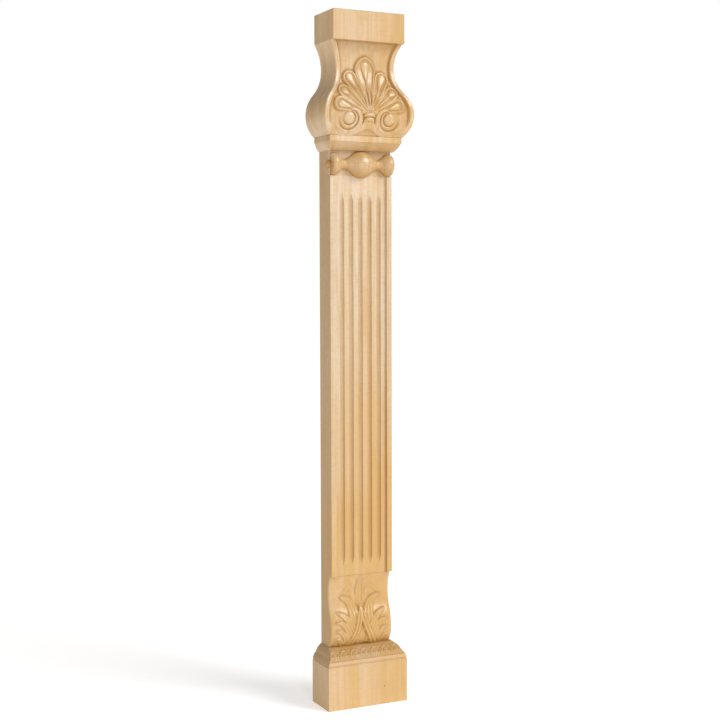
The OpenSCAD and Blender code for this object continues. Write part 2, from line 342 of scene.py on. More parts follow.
# the lacquer, and how far the fibres and rings stand out under it
ROUGHNESS = 0.30
FIBRE_ROUGHNESS = 0.12
HOLLOW_ROUGHNESS = 0.3
COAT = 0.5
COAT_ROUGHNESS = 0.18
LACQUER_IOR = 1.5
FIBRE_HEIGHT = 0.6
RING_HEIGHT = 0.2
BUMP_STRENGTH = 0.25
BUMP_DISTANCE = 0.0002


# %% Maple
def growth_rings(finish, place, x, y, heart):
    """0 in the pale early wood and 1 on each dark late line: the distance from the heart of
    the tree, counted in ring gaps, drives a sine, and its cube narrows the dark lines."""
    wander = finish.noise(place, WANDER_GRAIN) * RING_WANDER
    across = x - heart
    through = y + HEART_BEHIND + wander
    from_heart = (across * across + through * through) ** 0.5
    ring = (from_heart * (2 * pi / RING_GAP)).sine() * 0.5 + 0.5
    return ring * ring * ring


def maple(name, first, staves=(), turned=False, knots=(), deeper=None, patchy=0.2, streaky=1.4):
    """Lacquered maple. A shade is 0 for the palest board and 1 for the warmest. first is
    the left board's shade, and staves lists (glue line in mm from the middle, shade to its
    right). turned lays the grain along X instead of Z. knots are (x, y, z, radius) in mm.
    deeper is (height in mm, height in mm, shade): the shade added at the first height, and
    none at the second, so the wood grows darker and warmer towards the first. patchy is how
    much more stain its thirstiest patches took, from 0 to 1. streaky is how much the shade
    differs between narrow streaks along the grain."""
    finish = Finish(bpy.data.materials.new(name))
    place = finish.node("ShaderNodeTexCoord", out="Object")
    if turned:
        place = finish.node("ShaderNodeMapping", None, {"Vector": place, "Rotation": (0, pi / 2, 0)})
    axes = finish.node("ShaderNodeSeparateXYZ", None, {0: place})
    x, y, z = [Wire(finish, axes.socket.node.outputs[i]) for i in range(3)]

    # each board has its own shade, and its own place beside the heart of its tree
    shades = [first] + [stave_shade for _, stave_shade in staves]
    hearts = [HEART_SPREAD * np.sin(HEART_STEP * i) for i in range(len(shades))]
    shade, heart = shades[0], hearts[0]
    for i, (glue_line, _) in enumerate(staves, 1):
        right = x.above(glue_line * MM)
        shade = right * (shades[i] - shades[i - 1]) + shade
        heart = right * (hearts[i] - hearts[i - 1]) + heart
    if deeper:
        full, none, more = deeper
        shade = (1 - z.between(full * MM, none * MM)) * more + shade

    ring = growth_rings(finish, place, x, y, heart)
    fibre = finish.noise(place, FIBRE_GRAIN, detail=3.0, rough=0.6)
    pore = finish.noise(place, PORE_GRAIN, detail=1.0).between(*PORE_CUT)
    cloud = finish.noise(place, CLOUD_GRAIN)
    streak = finish.noise(place, STREAK_GRAIN, detail=3.0, rough=0.6)
    patch = finish.noise(place, PATCH_GRAIN, detail=3.0).between(*PATCH_CUT)
    curl = finish.noise(place, TURNED_CURL_GRAIN if turned else CURL_GRAIN).between(*CURL_CUT)
    shade_and_tone = finish.node("ShaderNodeAttribute", {"attribute_name": "shade_and_tone"}, out="Fac")

    wood = finish.mix((cloud - 0.5) * CLOUD_SHOW + (streak - 0.5) * streaky + shade, PALE, WARM)
    wood = finish.mix(ring * RING_SHOW, wood, LATE_WOOD)
    wood = finish.mix(fibre * FIBRE_SHOW, wood, LATE_WOOD)
    wood = finish.mix(curl * (TURNED_CURL_SHOW if turned else CURL_SHOW), wood, LATE_WOOD)
    wood = finish.mix(patch * patchy, wood, STAIN)
    wood = finish.mix(pore * PORE_SHOW, wood, PORE)
    for kx, ky, kz, radius in knots:
        centre = (kx * MM, ky * MM, kz * MM)
        gap = finish.node("ShaderNodeVectorMath", {"operation": "DISTANCE"},
                          {0: place, 1: centre}, out="Value")
        inside = 1 - gap.between(radius * MM * KNOT_CORE, radius * MM * KNOT_RIM)
        wood = finish.mix(inside, wood, KNOT)
    # painted shade in hollows, under things and in corners, and a deeper tone on the sides
    wood = finish.mix(shade_and_tone * SHADE_AND_TONE_SHOW, wood, SHADE_AND_TONE_BROWN)

    height = fibre * FIBRE_HEIGHT + ring * RING_HEIGHT - pore
    bump = finish.node("ShaderNodeBump", None,
                       {"Strength": BUMP_STRENGTH, "Distance": BUMP_DISTANCE, "Height": height})
    finish.feed(finish.tree.nodes["Principled BSDF"], {
        "Base Color": wood,
        "Roughness": fibre * FIBRE_ROUGHNESS + shade_and_tone * HOLLOW_ROUGHNESS + ROUGHNESS,
        "Normal": bump,
        "Coat Weight": COAT - shade_and_tone * COAT,
        "Coat Roughness": COAT_ROUGHNESS,
        "IOR": LACQUER_IOR,
    })
    print(f"{name}: {len(shades)} boards, {len(finish.tree.nodes)} nodes")
    return finish.owner


# %% [markdown]
# ## Rings of points round a piece
# Every piece but the spindle is a block with a flat back, square sides and a worked front.
# So one idea makes them all: at each height, a closed ring of points runs from the back
# along the left side, round a softened front edge, across the front, and back along the
# right side. Rings stacked from bottom to top, with a skin between them and a cap at each
# end, are a closed solid. The carving is a height added to the depth of the front points.

# %% Rings and meshes
EDGE_STEPS = 4
ARRIS = 0.8
# painted shade with a deeper tone of the wood, on the sides, back and ends
SIDE_SHADE_AND_TONE = 0.28
SHARP_ANGLE = radians(38)


def rings(z, half_w, depth, columns, relief=0.0, edge=ARRIS):
    """Closed rings, one for each height z, as (rings, points, 3) in mm.

    half_w and depth give the outline at each height. columns says where the points of the
    front lie, from -1 at the left edge to 1 at the right. relief is added to the depth
    there. The front's two edges are quarter circles of radius edge."""
    z, half_w, depth = [np.asarray(a, float)[:, None] for a in (z, half_w, depth)]
    turn = np.linspace(0, pi / 2, EDGE_STEPS + 1)[:-1]
    edge_x = -(half_w - edge) - edge * np.cos(turn)
    edge_d = depth - edge + edge * np.sin(turn)
    front_x = (half_w - edge) * columns
    front_d = depth + relief + 0 * front_x
    back = 0 * z
    x = np.hstack([-half_w, edge_x, front_x, -edge_x[:, ::-1], half_w])
    d = np.hstack([back, edge_d, front_d, edge_d[:, ::-1], back])
    return np.stack([x, back_y - d, z + 0 * x], axis=2)


def front_slice(columns):
    """Where the front's points lie within a ring."""
    start = 1 + EDGE_STEPS
    return slice(start, start + len(columns))


# a ring's points apart from the two at each end of it, which bound the sides and the back
FACE = slice(2, -2)


def plain_shade_and_tone(points, side=SIDE_SHADE_AND_TONE):
    """The marks of a piece without carving: side on its sides, back and ends, which is painted
    shade with a deeper tone of the wood there, and nothing on its front."""
    marks = np.full(points.shape[:2], side)
    marks[1:-1, FACE] = 0
    return marks


def make_piece(name, points, node, finish, shade_and_tone):
    """A closed mesh from stacked rings in mm: quads between neighbouring rings, and one
    face at each end. It stands for the frame's node and keeps its place in its mesh."""
    count, around, _ = points.shape
    index = np.arange(count * around).reshape(count, around)
    beside = np.roll(index, -1, axis=1)
    skin = np.stack([index[:-1], beside[:-1], beside[1:], index[1:]], axis=2).reshape(-1, 4)
    faces = skin.tolist() + [index[0, ::-1].tolist(), index[-1].tolist()]
    mesh = bpy.data.meshes.new(name)
    mesh.from_pydata((points.reshape(-1, 3) * MM).tolist(), [], faces)
    mesh.shade_smooth()
    mesh.set_sharp_from_angle(angle=SHARP_ANGLE)
    mesh.materials.append(finish)
    # each point's painted shade and tone, from 0 to 1
    marks = mesh.attributes.new("shade_and_tone", "FLOAT", "POINT")
    marks.data.foreach_set("value", shade_and_tone.astype(np.float32).ravel())
    piece = bpy.data.objects.new(name, mesh)
    bpy.context.scene.collection.objects.link(piece)
    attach(piece, "root")
    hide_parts(node)
    print(f"{name}: {len(points)} rings of {around} points, {len(skin) * 2} triangles")


# %% [markdown]
# ## Curves that a spindle moulder cuts
# Mouldings are made of arcs. Three small formulas do nearly all of them: the radius of an
# arc that starts level, how far such an arc has left its tangent, and an S made of two
# arcs that meet smoothly. Two more work on a finished height map: one sands it, and one
# finds its hollows.

# %% Arcs and heights
TINY = 1e-6
BELL_REACH = 3


def arc_radius(run, rise):
    """Radius of the arc that starts level and rises by rise over run: the sum of both
    squares, over twice the rise."""
    return (run * run + rise * rise) / (2 * rise)


def leave(radius, t):
    """How far an arc has left its tangent, t along that tangent: the radius less the other
    side of the right triangle on the radius and t."""
    return radius - np.sqrt(np.maximum(radius * radius - t * t, 0))


def s_curve(z, a, high, b, low, share):
    """An S from the value a at the height high to b at low, upright at both ends. The
    first arc takes share of the height."""
    run = high - low
    both = arc_radius(run, b - a)
    first = a + leave(share * both, high - z)
    second = b - leave((1 - share) * both, z - low)
    return np.where(z > high - share * run, first, second)


def soften(heights, width, spacing):
    """Blurs a grid of heights with a bell curve width mm wide, as sanding does. spacing is
    the grid's step in mm along its two directions."""
    for axis, step in enumerate(spacing):
        reach = int(np.ceil(BELL_REACH * width / step))
        bell = np.exp(-0.5 * (np.arange(-reach, reach + 1) * step / width) ** 2)
        bell /= bell.sum()
        pad = [(reach, reach) if a == axis else (0, 0) for a in (0, 1)]
        padded = np.pad(heights, pad, mode="edge")
        heights = np.apply_along_axis(np.convolve, axis, padded, bell, mode="valid")
    return heights


def hollowness(heights, spacing, reach, deep):
    """How far each point lies below its surroundings within reach mm, as a share of deep
    from 0 to 1."""
    below = soften(heights, reach, spacing) - heights
    return np.clip(below / deep, 0, 1)


def dome(t):
    """Half a circle: 1 in the middle, where t is 0, and 0 where t is 1 or more."""
    return np.sqrt(np.clip(1 - t * t, 0, None))


def smooth(t):
    """0 below 0, 1 above 1, and an S between: three squares less two cubes."""
    t = np.clip(t, 0, 1)
    return t * t * (3 - 2 * t)


def swelled(start, end, swell, t):
    """A straight run from start, where t is 0, to end, where it is 1, with a bow that
    stands swell off it in the middle."""
    return start + (end - start) * t + 4 * swell * t * (1 - t)


# %% [markdown]
# ## The plinth
# A square block with a fine line cut round its top, two narrow fillets that lean in, and a
# rounded shoulder. The mouldings are one outline seen from the front and another seen from
# the side. Across the front of the shoulder a carver has cut two rows of round hoops that
# cross each other, with a small drop in every cell. They stand out along the slope.

# %% Plinth sizes
BLOCK_H = 57.5
BAND_H = 10.5
BAND_IN = 5.0
QUIRK = 0.9
FILLET_H = 4.2
FILLET_IN = 0.36 * BAND_IN
LINE_H = 0.7
LINE_IN = 0.45
EASE = 0.5
SOFT = 0.3
NICK = 0.2
LEDGE = 0.1
SHOULDER_H = plinth_high[2] - BLOCK_H - BAND_H
SHOULDER_TOP_W = shaft_half_w + 1
SHOULDER_TOP_D = panel_d - 2.5
SHOULDER_ROWS = 44
FILLET_ROWS = 6
print(f"plinth: block {BLOCK_H} mm, shoulder {SHOULDER_H:.1f} mm high")


def plinth_outline(face, top, swell):
    """One upright outline of the plinth as [distance from the middle or back, height]: the
    block, the line cut round it, the fillets, and a shoulder that bows out by swell."""
    z = BLOCK_H + 2 * QUIRK
    fillet_z = z + FILLET_H
    line = face - FILLET_IN - LINE_IN
    edges = [[face - EASE, 0], [face, EASE], [face, BLOCK_H - SOFT], [face - SOFT, BLOCK_H],
             [face - QUIRK, BLOCK_H + NICK], [face - QUIRK, BLOCK_H + 1.5 * QUIRK],
             [face - NICK, z], [face, z + SOFT], [face - FILLET_IN, fillet_z],
             [line, fillet_z + NICK], [line, fillet_z + LINE_H],
             [face - FILLET_IN - NICK / 2, fillet_z + LINE_H + NICK]]
    t = np.linspace(0, 1, SHOULDER_ROWS)
    shoulder = np.stack([swelled(face - BAND_IN, top, swell, t),
                         BLOCK_H + BAND_H + SHOULDER_H * t], axis=1)
    return np.vstack([edges, shoulder])


# %% Arches
ARCHES = 7
HOOP_ROWS = ((0.0, 1.0), (0.5, 0.6))
HOOP_SHARE = 0.66
HOOP_FOOT = 0.05
HOOP_OVERLAP = 0.4
HOOP_LINE = 0.88
HOOP_LINE_HALF = 0.15
HOOP_INSIDE = 0.9
DROP_H = 0.7
PLAIN_WOOD_H = 0.5
LOW_DROP_UP = 2.2
HIGH_DROP_SHARE = 0.56
ROW_END = 1.5
FOOT_FADE = 0.8
TOP_FADE = 2.5
print(f"{ARCHES} arches, {2 * (plinth_half_w - BAND_IN) / ARCHES:.1f} mm apart")


def from_nearest(x, pitch, shift=0.0):
    """Distance from the nearest of a row of lines that stand pitch apart."""
    return ((x / pitch + shift + 0.5) % 1 - 0.5) * pitch


def arch_row(x, up, run):
    """Relief on the shoulder, where x runs across the front and up runs up its slope. Two
    rows of round hoops, half a pitch apart, cross each other, and a drop stands in every
    cell between them. Above the hoops the wood is plain."""
    pitch = 2 * (plinth_half_w - BAND_IN) / ARCHES
    high = HOOP_SHARE * run
    rise = up - HOOP_FOOT * run
    hoops = np.zeros(np.broadcast(x, up).shape)
    inside = np.zeros(hoops.shape, bool)
    for shift, strength in HOOP_ROWS:
        beside = from_nearest(x, pitch, shift)
        ring = np.hypot(beside / (0.5 * pitch + HOOP_OVERLAP), rise / high)
        hoops = np.maximum(hoops, strength * dome((ring - HOOP_LINE) / HOOP_LINE_HALF))
        inside |= ring < HOOP_INSIDE
    low_drops = dome(np.hypot(from_nearest(x, pitch / 2, 0.5) / 1.25, (rise - LOW_DROP_UP) / 2.3))
    high_drops = dome(np.hypot(from_nearest(x, pitch / 2) / 1.2, (rise - HIGH_DROP_SHARE * high) / 1.7))
    drops = DROP_H * np.maximum(low_drops, high_drops)
    total = np.where(inside, np.maximum(drops, hoops), np.maximum(hoops, PLAIN_WOOD_H))
    ends = np.clip((plinth_half_w - BAND_IN - ROW_END - np.abs(x)) / ROW_END, 0, 1)
    foot_and_top = np.clip(up / FOOT_FADE, 0, 1) * np.clip((run - up) / TOP_FADE, 0, 1)
    return total * ends * foot_and_top


# %% Plinth
FRONT_SWELL = 2.5
SIDE_SWELL = 1.2
PLINTH_COLUMNS = 341
ARCH_H = 1.2
ARCH_SOFT = 0.2
# painted shade on the fillets, which lean up into the light, in the corner where the shoulder meets the
# shaft, and in the hollows between the hoops
FILLET_SHADE = 0.55
# the whole shoulder is made darker and warmer
SHOULDER_DARKER = 0.26
CORNER_SHADE = 0.5
CORNER_REACH = 3
ARCH_HOLLOW_SHADE = 0.64


def build_plinth():
    """Rings from the two outlines. On the shoulder, each point of the front is pushed out
    by the relief, square to the slope: along the slope turned by a quarter."""
    front = plinth_outline(plinth_d, SHOULDER_TOP_D, FRONT_SWELL)
    side = plinth_outline(plinth_half_w, SHOULDER_TOP_W, SIDE_SWELL)
    columns = np.linspace(-1, 1, PLINTH_COLUMNS)
    points = rings(front[:, 1], side[:, 0], front[:, 0], columns)
    rows = slice(len(front) - SHOULDER_ROWS, len(front))
    span = front_slice(columns)
    slope = np.gradient(front[rows], axis=0)
    slope /= np.linalg.norm(slope, axis=1)[:, None]
    t = np.linspace(0, 1, SHOULDER_ROWS)[:, None]
    run = np.hypot(plinth_d - BAND_IN - SHOULDER_TOP_D, SHOULDER_H)
    grid = (run / SHOULDER_ROWS, 2 * plinth_half_w / PLINTH_COLUMNS)
    relief = soften(ARCH_H * arch_row(points[rows, span, 0], t * run, run), ARCH_SOFT, grid)
    points[rows, span, 1] -= relief * slope[:, 1:]
    points[rows, span, 2] -= relief * slope[:, :1]

    # painted shade on the fillets, in the corner under the shaft and in the hoops' hollows
    shade_and_tone = plain_shade_and_tone(points)
    shade_and_tone[-SHOULDER_ROWS - FILLET_ROWS:, span] = FILLET_SHADE
    corner_shade = CORNER_SHADE * np.clip(1 - (1 - t) * run / CORNER_REACH, 0, 1)
    hoop_hollow_shade = ARCH_HOLLOW_SHADE * hollowness(relief, grid, reach=1.6, deep=0.5)
    shade_and_tone[rows, span] = np.clip(SHOULDER_DARKER + corner_shade + hoop_hollow_shade, 0, 1)
    boards = [(-35.5, 0.85), (-13.5, 0.55), (-1.5, 0.6), (16.5, 0.78)]
    knot = (23.5, back_y - plinth_d, 24.0, 0.9)
    wood = maple("plinth_maple", 0.7, boards, knots=[knot], streaky=0.5)
    make_piece("plinth_wood", points, "plinth", wood, shade_and_tone)


build_plinth()

# %% [markdown]
# ## The shaft
# One board. A router sinks the panel between two edge strips and cuts five flutes with a
# round-nosed bit that lifts out at both ends, which leaves long points. The strips stop
# under the spindle. Below a small step the board is bandsawn to an S, which is its foot.

# %% Shaft sizes
FOOT_TOP = shaft_low[2] + 94.5
STRIP_W = 7.3
PANEL_IN = 3.5
strip_d = panel_d + PANEL_IN
strip_top = spindle_z - 14.5
FLUTES = 5
FLUTE_W = 6.6
FLUTE_DEEP = 2.8
FLUTE_PITCH = 13.25
FLUTE_LOW = FOOT_TOP + 13
FLUTE_HIGH = shaft_high[2] - 54
RUN_OUT = 11.0
HOLLOW_Z = shaft_low[2] + 68.5
HOLLOW_IN = 6.7
BELLY_UP = 17.5
ROLL_IN = 8.0
print(f"flutes from {FLUTE_LOW:.1f} to {FLUTE_HIGH:.1f} mm, strips up to {strip_top:.1f} mm")


def foot_depth(z):
    """Depth of the foot: a hollow under the panel, an S out to the belly, which reaches the
    strips' face, and a roll back under it."""
    belly_z = shaft_low[2] + BELLY_UP
    hollow = panel_d - HOLLOW_IN
    upper = hollow + leave(arc_radius(FOOT_TOP - HOLLOW_Z, HOLLOW_IN), z - HOLLOW_Z)
    middle = s_curve(z, hollow, HOLLOW_Z, strip_d, belly_z, 0.45)
    lower = strip_d - leave(arc_radius(BELLY_UP, ROLL_IN), np.minimum(belly_z - z, BELLY_UP))
    return np.where(z > HOLLOW_Z, upper, np.where(z > belly_z, middle, lower))


def flute_cut(x, z):
    """Depth of the flutes: a round bar of radius r lies over each flute's line and bites
    FLUTE_DEEP into the panel. Over the last RUN_OUT at both ends r shrinks to nothing left."""
    r = ((FLUTE_W / 2) ** 2 + FLUTE_DEEP ** 2) / (2 * FLUTE_DEEP)
    lift = r - FLUTE_DEEP
    inside = np.clip(np.minimum(z - FLUTE_LOW, FLUTE_HIGH - z) / RUN_OUT, 0, 1)
    bar = lift + (r - lift) * inside
    line = np.clip(np.round(x / FLUTE_PITCH), -(FLUTES // 2), FLUTES // 2) * FLUTE_PITCH
    return np.clip(np.sqrt(np.maximum(bar ** 2 - (x - line) ** 2, 0)) - lift, 0, None)


# %% [markdown]
# ## The leaf on the foot
# The carver lays an acanthus leaf on the foot: a pointed bud, then pairs of leaflets from
# the top down, each over the one above it, and two stems that part at the bottom. Each
# leaflet is a comb of rounded ribs that meet at its tip. All of them follow a curved line,
# so one helper measures every point's place along such a line and its distance from it.

# %% Leaf
LINE_PARTS = 18


def beside_line(x, z, start, bend, end):
    """For each point, its nearest place on the curve from start to end that leans towards
    bend: the share of the way along, and the distance from it, below zero on its left."""
    t = np.linspace(0, 1, LINE_PARTS + 1)[:, None]
    start, bend, end = [np.array(p, float) for p in (start, bend, end)]
    curve = (1 - t) ** 2 * start + 2 * t * (1 - t) * bend + t ** 2 * end
    best = np.full(x.shape, 1e9)
    share = np.zeros(x.shape)
    for i, (a, b) in enumerate(zip(curve[:-1], curve[1:])):
        step = b - a
        along = np.clip(((x - a[0]) * step[0] + (z - a[1]) * step[1]) / (step @ step), 0, 1)
        off_x, off_z = x - a[0] - along * step[0], z - a[1] - along * step[1]
        gap = np.hypot(off_x, off_z)
        nearer = gap < np.abs(best)
        share = np.where(nearer, (i + along) / LINE_PARTS, share)
        best = np.where(nearer, np.where(step[1] * off_x > step[0] * off_z, gap, -gap), best)
    return share, best


def leaflet(below, x, z, edge, wide, rise, combs):
    """Lays a leaflet over what is below it. edge is its upper edge, an arch from root to
    tip, and the leaflet hangs from it like a comb: rounded ribs run side by side along the
    edge, with sharp valleys between them, and all of them meet at the tip."""
    share, gap = beside_line(x, z, *edge)
    width = wide * np.clip(1 - share, 0, 1) ** 0.45
    place = gap / np.maximum(width, TINY)
    rib = np.abs(np.sin(pi * combs * np.clip(place, 0, 1))) ** 0.55
    lift = rise * (0.35 + 0.65 * rib) * (1 - 0.35 * np.clip(place, 0, 1)) * (0.6 + 0.4 * share)
    return np.where((place > 0) & (place < 1), lift, below)


def blade(below, x, z, spine, half_w, rise, swell):
    """Lays one pointed blade over what is below. Its half width is the share of the way
    along to one power, times the share left to another, scaled to half_w at its widest.
    Across, it has a raised rim, a hollow, and a thin rib in the middle."""
    share, gap = beside_line(x, z, *spine)
    gap = np.abs(gap)
    peak = swell[0] / (swell[0] + swell[1])
    full = peak ** swell[0] * (1 - peak) ** swell[1]
    width = half_w * share ** swell[0] * (1 - share) ** swell[1] / full
    side = gap / np.maximum(width, TINY)
    rim = dome((side - 0.80) / 0.22) * (side > 0.58)
    body = 0.42 + 0.58 * rim + 0.5 * np.clip(1 - gap / 0.9, 0, 1)
    return np.where(side < 1, rise * body, below)


def stem(below, x, z, spine, half_w, rise):
    """Lays a rounded ribbon on each side of its spine. It is a quarter as wide at its start,
    where it grows out of what is below instead of covering it."""
    share, gap = beside_line(x, z, *spine)
    width = half_w * np.clip(share / 0.25, 0.25, 1)
    side = np.abs(gap) / width
    ribbon = rise * (0.45 + 0.55 * np.sin(pi * np.clip(side, 0, 1)) ** 0.6)
    ribbon = np.where(share < 0.15, np.maximum(ribbon, below), ribbon)
    return np.where(side < 1, ribbon, below)


# lines are (root, bend, tip), and places are (x, height above the plinth)
# the bud's spine, half width, rise, and powers
BUD = [((0, 46), (0, 66), (0, 92)), 6.2, 1.2, (0.9, 0.75)]
# each leaflet's upper edge, width, rise, and number of ribs
LEAFLETS = [
    [((5.0, 62), (14.0, 92), (26.0, 68)), 7.0, 0.9, 2],
    [((2.8, 34), (5.0, 68), (29.5, 65.5)), 15.0, 2.3, 3],
    [((6.5, 14), (14.0, 46), (36.0, 46.5)), 11.5, 2.2, 3],
    [((10.5, 5.0), (20.5, 41), (38.4, 33)), 9.5, 2.1, 2],
    [((16.0, 0.0), (26.0, 31), (39.2, 21)), 8.5, 2.0, 2],
    [((22.0, -4.0), (31.0, 19), (39.6, 10)), 7.0, 1.9, 2],
]
# the stem's spine, half width and rise
STEM = [((0.7, 53), (3.2, 22), (21, -4)), 4.2, 2.6]
LEAF_MARGIN = 4.5
print(f"leaf: {2 * len(LEAFLETS)} leaflets, a bud and two stems")


def leaf(x, z):
    """The whole leaf's height: the bud, the leaflets and the stems, each laid over the ones
    before. The left half mirrors the right, and the margin beside it is bare."""
    up = z - shaft_low[2]
    side = np.abs(x)
    height = blade(np.zeros_like(x), x, up, *BUD)
    for leaflet_sizes in LEAFLETS:
        height = leaflet(height, side, up, *leaflet_sizes)
    height = np.where(side > shaft_half_w - LEAF_MARGIN, 0, height)
    return stem(height, side, up, *STEM)


# %% [markdown]
# ## The shaft's two stacks of rings
# The foot's rings lie close together, for the leaf. Above the step there are rings only
# where something starts or ends: the tips of the flutes, the ends of the strips, the top.
# Across, extra columns stand at the edges of the flutes and at the strips' walls.

# %% Foot
FOOT_ROWS = 190
FOOT_EDGE = 2.0
FOOT_ROLL = 1.6
ROLL_START = 10
ROLL_RUN = 9
FOOT_LIP = 0.7
LEAF_RISE = 1.1
LEAF_SOFT = 0.4
COLUMN_STEP = 0.5
# painted shade under the belly of the foot, darkest where it meets the plinth
UNDER_BELLY_SHADE = 0.8
UNDER_BELLY_REACH = 10


def build_foot(columns):
    """The foot's rings, and the marks of its front. The front rolls back near both edges,
    by FOOT_ROLL times the square of a share that grows over ROLL_RUN."""
    low = shaft_low[2]
    z = np.linspace(low, FOOT_TOP - LEDGE, FOOT_ROWS)
    x = (shaft_half_w - FOOT_EDGE) * columns[None, :] + 0 * z[:, None]
    grid = (z[1] - z[0], COLUMN_STEP)
    relief = soften(LEAF_RISE * leaf(x, z[:, None] + 0 * x), LEAF_SOFT, grid)
    roll = FOOT_ROLL * np.clip((np.abs(x) - shaft_half_w + ROLL_START) / ROLL_RUN, 0, 1) ** 2
    depth = foot_depth(z)
    depth[-1] -= FOOT_LIP
    points = rings(z, 0 * z + shaft_half_w, depth - FOOT_ROLL, columns,
                   relief - roll + FOOT_ROLL, FOOT_EDGE)
    # painted shade under the belly and in the hollows of the leaf
    painted_underside = UNDER_BELLY_SHADE * np.clip(1 - (z[:, None] - low) / UNDER_BELLY_REACH, 0, 1) ** 1.5
    marks = np.clip(hollowness(relief, grid, reach=1.8, deep=0.6) + painted_underside, 0, 1)
    return points, marks


# %% Shaft
SHAFT_COLUMNS = 177
TIP_ROWS = 26
MIDDLE_ROWS = 24
WALL_X = np.array([-0.1, 0.05, 0.5])
WALL_SHARE = [0, 0.9, 1]
# painted shade with a deeper tone of the wood, on the shaft's sides
SHAFT_SIDE_SHADE_AND_TONE = 0.6
# painted shade in the flutes, and on the panel behind the spindle, under the capital
FLUTE_SHADE = 0.34
BEHIND_SPINDLE_SHADE = 0.4


def build_shaft():
    """The foot's rings with the fluted ones on top of them. Between the strips the front is
    lowered to the panel, and the flutes are cut into that."""
    half = shaft_half_w - ARRIS
    wall = shaft_half_w - STRIP_W
    flute_lines = np.arange(-(FLUTES // 2), FLUTES // 2 + 1) * FLUTE_PITCH
    marks = np.concatenate([-wall - WALL_X, wall + WALL_X,
                            flute_lines - FLUTE_W / 2, flute_lines + FLUTE_W / 2])
    columns = np.concatenate([np.linspace(-1, 1, SHAFT_COLUMNS), marks / half])
    columns = np.unique(np.round(columns, 5))
    foot, foot_shade = build_foot(columns)

    tips = [np.linspace(FLUTE_LOW - 1, FLUTE_LOW + RUN_OUT, TIP_ROWS),
            np.linspace(FLUTE_LOW + RUN_OUT, FLUTE_HIGH - RUN_OUT, MIDDLE_ROWS)[1:-1],
            np.linspace(FLUTE_HIGH - RUN_OUT, FLUTE_HIGH + 1, TIP_ROWS)]
    head_z = [strip_top - EASE, strip_top, strip_top + LEDGE, shaft_high[2] - LEDGE, shaft_high[2]]
    upper_z = np.concatenate([[FOOT_TOP, FOOT_TOP + EASE], *tips, head_z])
    x = half * columns[None, :] + 0 * upper_z[:, None]
    z = upper_z[:, None] + 0 * x
    strip = strip_d + 0 * upper_z
    strip[0] -= EASE
    strip[-len(head_z):] = strip_d, strip_d - EASE, panel_d, panel_d, panel_d
    between = np.interp(np.abs(x), wall + WALL_X, WALL_SHARE)
    flutes = flute_cut(x, z)
    lowered = -(strip[:, None] - panel_d) * (1 - between) - flutes
    upper = rings(upper_z, 0 * upper_z + shaft_half_w, strip, columns, lowered)

    points = np.vstack([foot, upper])
    span = front_slice(columns)
    shade_and_tone = plain_shade_and_tone(points, SHAFT_SIDE_SHADE_AND_TONE)
    shade_and_tone[1:len(foot), span] = foot_shade[1:]
    # painted shade in the flutes and on the panel behind the spindle
    shade_behind_spindle = BEHIND_SPINDLE_SHADE * (z >= strip_top)
    shade_and_tone[len(foot):, span] = FLUTE_SHADE * (flutes / FLUTE_DEEP) ** 0.5 + shade_behind_spindle
    boards = [(-23.5, 0.12), (5.5, 0.25), (26.5, 0.15)]
    wood = maple("shaft_maple", -0.1, boards, deeper=(150, 620, 0.9))
    make_piece("shaft_wood", points, "shaft", wood, shade_and_tone)


build_shaft()

# %% [markdown]
# ## The spindle
# A turner makes a whole spindle with three swellings and saws it in half, and the flat side
# is glued to the panel. So the shape is half of a turned form: a radius for each place
# along the axis, carried round half a circle. Its grain runs along it, across the grain of
# everything else.

# %% Spindle outline
SPINDLE_HALF = shaft_half_w - 1
NECK_X = 24.0
MID_R = (spindle_high[2] - spindle_low[2]) / 2
END_R = 14.9
NECK_R = 6.8
END_IN = 4.5
NIB_R = 5.0
POINT_R = 0.05
print(f"spindle radii: middle {MID_R:.1f}, neck {NECK_R}, end {END_R} mm")


def spindle_radius(x):
    """Radius at the distance x from the middle: half a cosine wave down from the middle
    swelling to the neck, half a wave up to the end swelling, a flat end, and a round nib."""
    full_x = SPINDLE_HALF - END_IN
    wave = np.cos(pi * np.clip(x / NECK_X, 0, 1) ** 1.25)
    middle = NECK_R + (MID_R - NECK_R) * (0.5 + 0.5 * wave)
    rise = np.cos(pi * np.clip((x - NECK_X) / (full_x - NECK_X), 0, 1))
    end = NECK_R + (END_R - NECK_R) * (0.5 - 0.5 * rise)
    tail = END_R * dome((x - full_x) / (2.2 * END_IN))
    nib = NIB_R * dome((x - spindle_high[0] + NIB_R) / NIB_R)
    radius = np.where(x < NECK_X, middle, np.where(x < full_x, end, tail))
    return np.where(x > SPINDLE_HALF, np.maximum(nib, POINT_R), radius)


# %% Spindle
BARREL_RINGS = 130
NIB_RINGS = 14
HALF_TURN_POINTS = 57
END_FACE_X = SPINDLE_HALF + 0.01
# painted shade on the nib, in the necks and on the underside; along the panel, painted shade with some
# glue stain
NIB_SHADE = 0.95
CONTACT_SHADE_AND_STAIN = 0.9
NECK_SHADE = 0.4
UNDER_SHADE = 0.75


